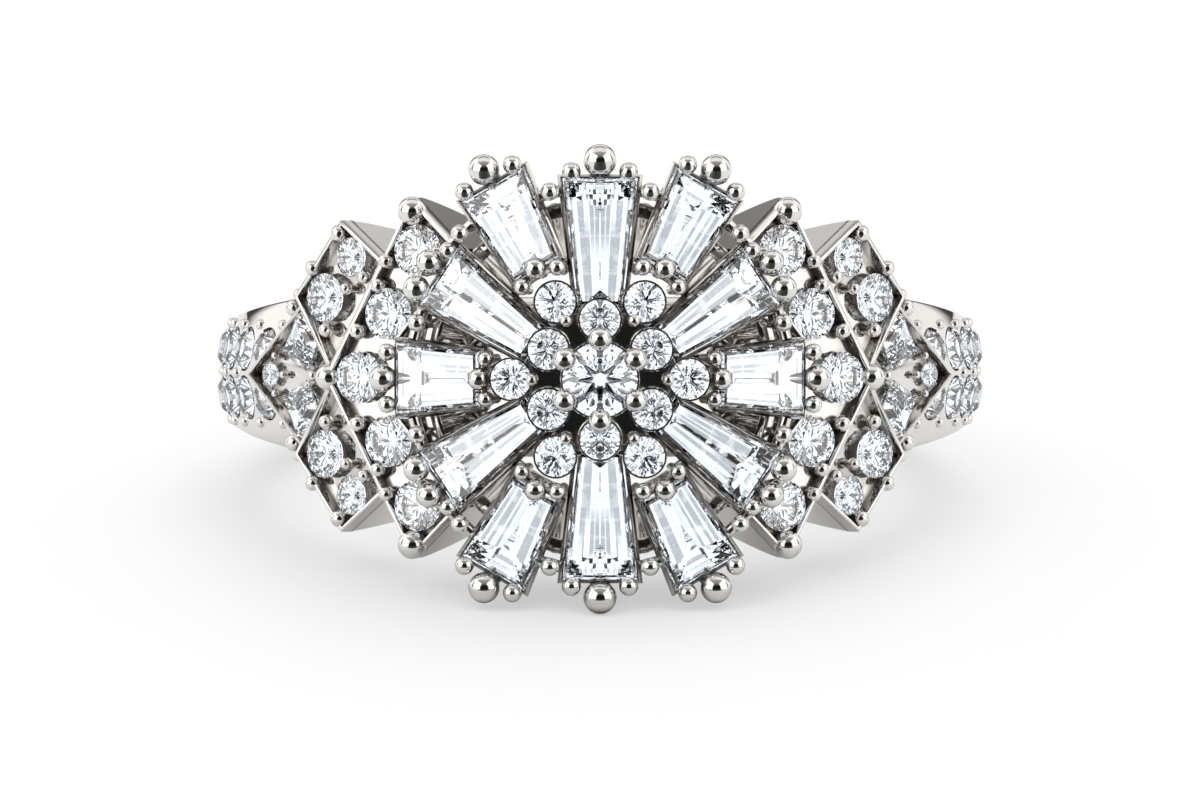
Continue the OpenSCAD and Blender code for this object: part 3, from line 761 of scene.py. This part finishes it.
def makeShank():
    steps = shank["steps"]
    body = bmesh.new()
    loft(body, [shankRing(math.tau * k / steps) for k in range(steps)], Matrix.Identity(4), closed=True)
    piece = soften(toMesh("shankBand", body), shank["edge"], segments=shank["edgeSteps"])
    balls = []
    for side in (1, -1):
        seats = bmesh.new()
        for k in range(pave["count"]):
            for z in (-pave["row"], pave["row"]):
                place = flipped(side, 1) @ onDome(-pave["first"] - pave["step"] * k, z, pave["sunk"])
                addSeat(seats, pave["diameter"], pave["plug"], pave["plugWider"], place)
        cut(piece, toMesh("seats", seats))
        cut(piece, kiteSeats(side))
        for row in (-2, 0, 2):
            # the middle row has no bead in front of the first stones, where the kite ends
            for k in range(1 if row == 0 else 0, pave["count"] + 1):
                turn = -pave["first"] - pave["step"] * (k - 0.5)
                place = flipped(side, 1) @ onDome(turn, row * pave["row"], pave["sunk"])
                balls.append(ball(place, pave["bead"], pave["beadWire"]))
    asMetal(piece)
    makeBalls("paveBeads", balls)
    return piece


shankBand = makeShank()
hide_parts("ring_mount")
print("shank made")


# Stones: rounds keep the shapes of their solids, and the baguettes are cut anew with finer steps

stepCut = {
    # crown rows: height over the girdle's middle, distance in from its edge
    "crown": [(0.24, 0.15), (0.19, 0.09), (0.12, 0.04)],
    "edge": 0.03,
    # pavilion rows: share of the way to the keel, slope of the long facets in degrees
    "pavilion": [
        (0.1, 49), (0.22, 46.5), (0.36, 44.3), (0.52, 42.5), (0.68, 41.2), (0.84, 40.2), (1, 39.4),
    ],
    "keelWidth": 0.03, "keelCut": 0.4,
}


def addStepStone(shape, petal, place):
    outline = taper(petal["widthIn"], petal["widthOut"], petal["length"])
    near = stepCut["keelCut"] * petal["widthIn"] - petal["length"] / 2
    far = petal["length"] / 2 - stepCut["keelCut"] * petal["widthOut"]
    thin = stepCut["keelWidth"] / 2
    keel = [(near, -thin), (far, -thin), (far, thin), (near, thin)]
    rows = [at(inset(outline, d), h) for h, d in stepCut["crown"]]
    rows += [at(outline, stepCut["edge"]), at(outline, -stepCut["edge"])]
    half = (petal["widthOut"] - stepCut["keelWidth"]) / 2
    before, depth = 0, stepCut["edge"]
    for share, slope in stepCut["pavilion"]:
        depth += (share - before) * half * math.tan(math.radians(slope))
        before = share
        inner, outer = Vector(rows[-1][0]), Vector(rows[-1][1])
        plan = [tuple(Vector(a).lerp(Vector(b), share)) for a, b in zip(outline, keel)]
        newOuter = Vector((plan[1][0], plan[1][1], -depth))
        flat = (inner - outer).cross(newOuter - outer)  # keeps each long facet flat
        z = outer.z - (flat.x * (plan[0][0] - outer.x) + flat.y * (plan[0][1] - outer.y)) / flat.z
        rows.append([plan[0] + (z,), plan[1] + (-depth,), plan[2] + (-depth,), plan[3] + (z,)])
    loft(shape, rows, place)


def makeStones():
    for k, (kind, x, z) in enumerate(petalPlaces):
        shape = bmesh.new()
        addStepStone(shape, petals[kind], flipped(x, z) @ onPetal(petals[kind]))
        stone = dress(toMesh(f"stepStone_{k + 1}", shape), clearStone, smooth=0)
        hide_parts(f"baguette_{k + 1}")
    for name in frame["nodes"]:
        if name != "ring_mount" and not name.startswith("baguette"):
            for holder in bpy.data.objects[name].material_slots:
                holder.material = clearStone


makeStones()
print("stones finished")


# Stage: a light table, soft lights and the camera at the photograph's angle

camera = {
    "distance": 200, "pixelsPerMm": 35.3, "frameWidth": 1200, "lift": 1, "headY": 370.5, "middleY": 400,
    "sensor": 36, "nearest": 0.01,
}
# the camera sees the table's glow, and the metal mirrors the lit surface alone
floorLook = {
    "size": 2, "tone": 0.335, "glow": 0.395, "mirrored": 0.565,
    "speckle": 0.02, "speckleScale": 60, "speckleDetail": 2,
}
# a black card on the floor in front of the ring, which only the metal mirrors
frontCard = {"near": (9, -15), "far": (640, -900), "height": 0.05, "tone": 0.02}
# the metal mirrors cards in a dark room, and the floor is lit evenly
room = {
    "low": 0.05, "high": 0.3, "rise": (0.5, 0.98), "darkest": 0.01, "even": 0.92,
    "tint": (1, 0.985, 0.965, 1), "ahead": 0.0001,
}
# each card has a direction as azimuth and elevation, half sizes as tangents, the softness of its edge, and
# the light that it adds or takes away
cards = [
    {"azimuth": -60, "elevation": 22, "wide": 0.75, "high": 0.66, "soft": 0.55, "light": 1.3},
    {"azimuth": 64, "elevation": 22, "wide": 0.7, "high": 0.66, "soft": 0.55, "light": 1.05},
    {"azimuth": 0, "elevation": 98, "wide": 1.5, "high": 0.45, "soft": 0.5, "light": 0.45},
    {"azimuth": -125, "elevation": 20, "wide": 0.5, "high": 0.8, "soft": 0.5, "light": 0.85},
    {"azimuth": 125, "elevation": 20, "wide": 0.5, "high": 0.8, "soft": 0.5, "light": 0.75},
    {"azimuth": 180, "elevation": 30, "wide": 0.5, "high": 0.4, "soft": 0.5, "light": 0.6},
    {"azimuth": 3, "elevation": 6, "wide": 0.62, "high": 0.5, "soft": 0.8, "light": -1.3},
]
# what shines through the stones: a white dome with grey rings round the camera, by degrees from it, which are
# darker near it
dome = {
    "white": 1.35, "tint": (0.88, 0.935, 1, 1), "camera": (12, 14.5), "start": 5, "share": (0.42, 0.7),
    "near": 36, "far": 42, "nearRing": 8.5, "farRing": 4.6, "nearDark": 1.3, "farDark": 0.6,
}


def cameraRise():
    return restTilt + math.radians(camera["lift"])


def grey(level):
    return (level, level, level, 1)


def makeDome():
    tree = bpy.data.node_groups.new("whiteDome", "ShaderNodeTree")
    tree.interface.new_socket("Look", in_out="INPUT", socket_type="NodeSocketVector")
    tree.interface.new_socket("Light", in_out="OUTPUT", socket_type="NodeSocketFloat")
    w = Wiring(tree)
    look = w.add("NodeGroupInput").outputs["Look"]
    ahead = w.calculate("MULTIPLY", w.split(w.turned(look, cameraRise(), 0))["Y"], -1)
    away = w.calculate("DEGREES", w.calculate("ARCCOSINE", w.calculate("MINIMUM", ahead, 1)))
    pace = w.ramp(away, dome["near"], dome["far"], math.tau / dome["nearRing"], math.tau / dome["farRing"])
    phase = w.calculate("MULTIPLY", w.calculate("SUBTRACT", away, dome["start"]), pace)
    depth = w.ramp(away, dome["near"], dome["far"], dome["nearDark"], dome["farDark"])
    dark = w.calculate("MULTIPLY", w.ramp(w.calculate("SINE", phase), *dome["share"], 0, 1), depth)
    light = w.calculate("SUBTRACT", dome["white"], dark)
    w.add("NodeGroupOutput", {"Light": w.calculate("MULTIPLY", light, w.ramp(away, *dome["camera"], 0, 1))})
    return tree


domeTree = makeDome()


def flatPiece(name, corners):
    shape = bmesh.new()
    shape.faces.new([shape.verts.new(corner) for corner in corners])
    return toMesh(name, shape)


def makeFloor():
    half = floorLook["size"] / 2
    piece = flatPiece("floor", [(-half, -half, 0), (half, -half, 0), (half, half, 0), (-half, half, 0)])
    material, w, shader = newMaterial("paleFloor")
    path = w.lightPath()
    speckles = w.noise(w.objectPlace(), floorLook["speckleScale"], floorLook["speckleDetail"])
    tone = w.blend(speckles, grey(floorLook["tone"]), grey(floorLook["tone"] + floorLook["speckle"]))
    w.fill(shader, {
        "Base Color": w.blend(path["Is Glossy Ray"], tone, grey(floorLook["mirrored"])),
        "Specular IOR Level": 0, "Emission Color": grey(1),
        "Emission Strength": w.calculate("MULTIPLY", path["Is Camera Ray"], floorLook["glow"]),
    })
    # the stones see the white dome in the table's place
    back = {"Vector": w.add("ShaderNodeNewGeometry").outputs["Incoming"], "Scale": -1}
    look = w.add("ShaderNodeVectorMath", back, operation="SCALE").outputs["Vector"]
    light = w.add("ShaderNodeGroup", {"Look": look}, node_tree=domeTree).outputs["Light"]
    shine = w.add("ShaderNodeEmission", {"Color": dome["tint"], "Strength": light}).outputs["Emission"]
    seen = w.blendShaders(path["Is Transmission Ray"], shader.outputs["BSDF"], shine)
    w.fill(w.nodes["Material Output"], {"Surface": seen})
    piece.data.materials.append(material)


def makeFrontCard():
    corners = [(-1, "far"), (1, "far"), (1, "near"), (-1, "near")]
    spots = [(side * frontCard[end][0], frontCard[end][1], frontCard["height"]) for side, end in corners]
    piece = flatPiece("frontCard", [Vector(spot) * mm for spot in spots])
    material, w, shader = newMaterial("blackCard")
    w.fill(shader, {"Base Color": grey(frontCard["tone"])})
    clear = w.add("ShaderNodeBsdfTransparent").outputs["BSDF"]
    seen = w.blendShaders(w.lightPath()["Is Transmission Ray"], shader.outputs["BSDF"], clear)
    w.fill(w.nodes["Material Output"], {"Surface": seen})
    piece.data.materials.append(material)
    piece.visible_camera = piece.visible_diffuse = piece.visible_transmission = piece.visible_shadow = False


def makeWorld():
    world = bpy.data.worlds.new("studio")
    bpy.context.scene.world = world
    world.use_nodes = True
    w = Wiring(world.node_tree)

    def surround(color, strength):
        return w.add("ShaderNodeBackground", {"Color": color, "Strength": strength}).outputs["Background"]

    look = w.objectPlace()
    total = w.ramp(w.split(look)["Z"], *room["rise"], room["low"], room["high"], "SMOOTHSTEP")
    for card in cards:
        level = w.turned(look, 0, -math.radians(card["azimuth"]))
        parts = w.split(w.turned(level, math.radians(card["elevation"]), 0))
        ahead = w.calculate("MAXIMUM", w.calculate("MULTIPLY", parts["Y"], -1), room["ahead"])
        mask = 1
        for side, half in ((parts["X"], card["wide"]), (parts["Z"], card["high"])):
            away = w.calculate("DIVIDE", w.calculate("ABSOLUTE", side), ahead)
            mask = w.calculate("MULTIPLY", w.ramp(away, half, half * card["soft"], 0, 1, "SMOOTHSTEP"), mask)
        total = w.calculate("ADD", total, w.calculate("MULTIPLY", mask, card["light"]))
    mirrored = surround(room["tint"], w.calculate("MAXIMUM", total, room["darkest"]))
    light = w.add("ShaderNodeGroup", {"Look": look}, node_tree=domeTree).outputs["Light"]
    path = w.lightPath()
    seen = w.blendShaders(path["Is Transmission Ray"], mirrored, surround(dome["tint"], light))
    seen = w.blendShaders(path["Is Diffuse Ray"], seen, surround(grey(1), room["even"]))
    w.fill(w.nodes["World Output"], {"Surface": seen})


def makeCamera():
    data = bpy.data.cameras.new("camera")
    eye = bpy.data.objects.new("camera", data)
    bpy.context.scene.collection.objects.link(eye)
    bpy.context.scene.camera = eye
    data.sensor_width = camera["sensor"]
    data.lens = camera["sensor"] * camera["pixelsPerMm"] * camera["distance"] / camera["frameWidth"]
    data.shift_y = -(camera["middleY"] - camera["headY"]) / camera["frameWidth"]
    data.clip_start = camera["nearest"]
    way = Vector((0, -math.cos(cameraRise()), math.sin(cameraRise())))
    eye.location = Vector(finger["pos_m"]) + way * camera["distance"] * mm
    eye.rotation_euler = (-way).to_track_quat("-Z", "Y").to_euler()


# soft boxes, which neither the metal nor the stones show: direction from the ring in degrees, distance and
# size in metres, and brightness of the face
softBoxes = [
    {"name": "key", "azimuth": -46, "elevation": 50, "distance": 0.35, "size": (0.21, 0.18), "light": 0.9},
    {"name": "back", "azimuth": 165, "elevation": 62, "distance": 0.4, "size": (0.3, 0.25), "light": 2.4},
    {"name": "fill", "azimuth": 50, "elevation": 54, "distance": 0.35, "size": (0.12, 0.2), "light": 0.6},
]


def makeSoftBoxes():
    for box in softBoxes:
        data = bpy.data.lights.new(box["name"], "AREA")
        data.shape = "RECTANGLE"
        data.size, data.size_y = box["size"]
        data.energy = box["light"] * math.pi * data.size * data.size_y
        lamp = bpy.data.objects.new(box["name"], data)
        bpy.context.scene.collection.objects.link(lamp)
        azimuth, elevation = math.radians(box["azimuth"]), math.radians(box["elevation"])
        level = math.cos(elevation)
        way = Vector((math.sin(azimuth) * level, -math.cos(azimuth) * level, math.sin(elevation)))
        lamp.visible_glossy = lamp.visible_transmission = False
        lamp.location = way * box["distance"]
        lamp.rotation_euler = way.to_track_quat("Z", "Y").to_euler()


makeFloor()
makeFrontCard()
makeWorld()
makeCamera()
makeSoftBoxes()
# light goes through many facets before it leaves a stone
tracing = {"max_bounces": 24, "transmission_bounces": 20, "glossy_bounces": 8, "sample_clamp_indirect": 6}
for name, value in tracing.items():
    setattr(bpy.context.scene.cycles, name, value)
picture = bpy.context.scene.view_settings
picture.view_transform = "Standard"
picture.exposure = 0.29
print("stage made")
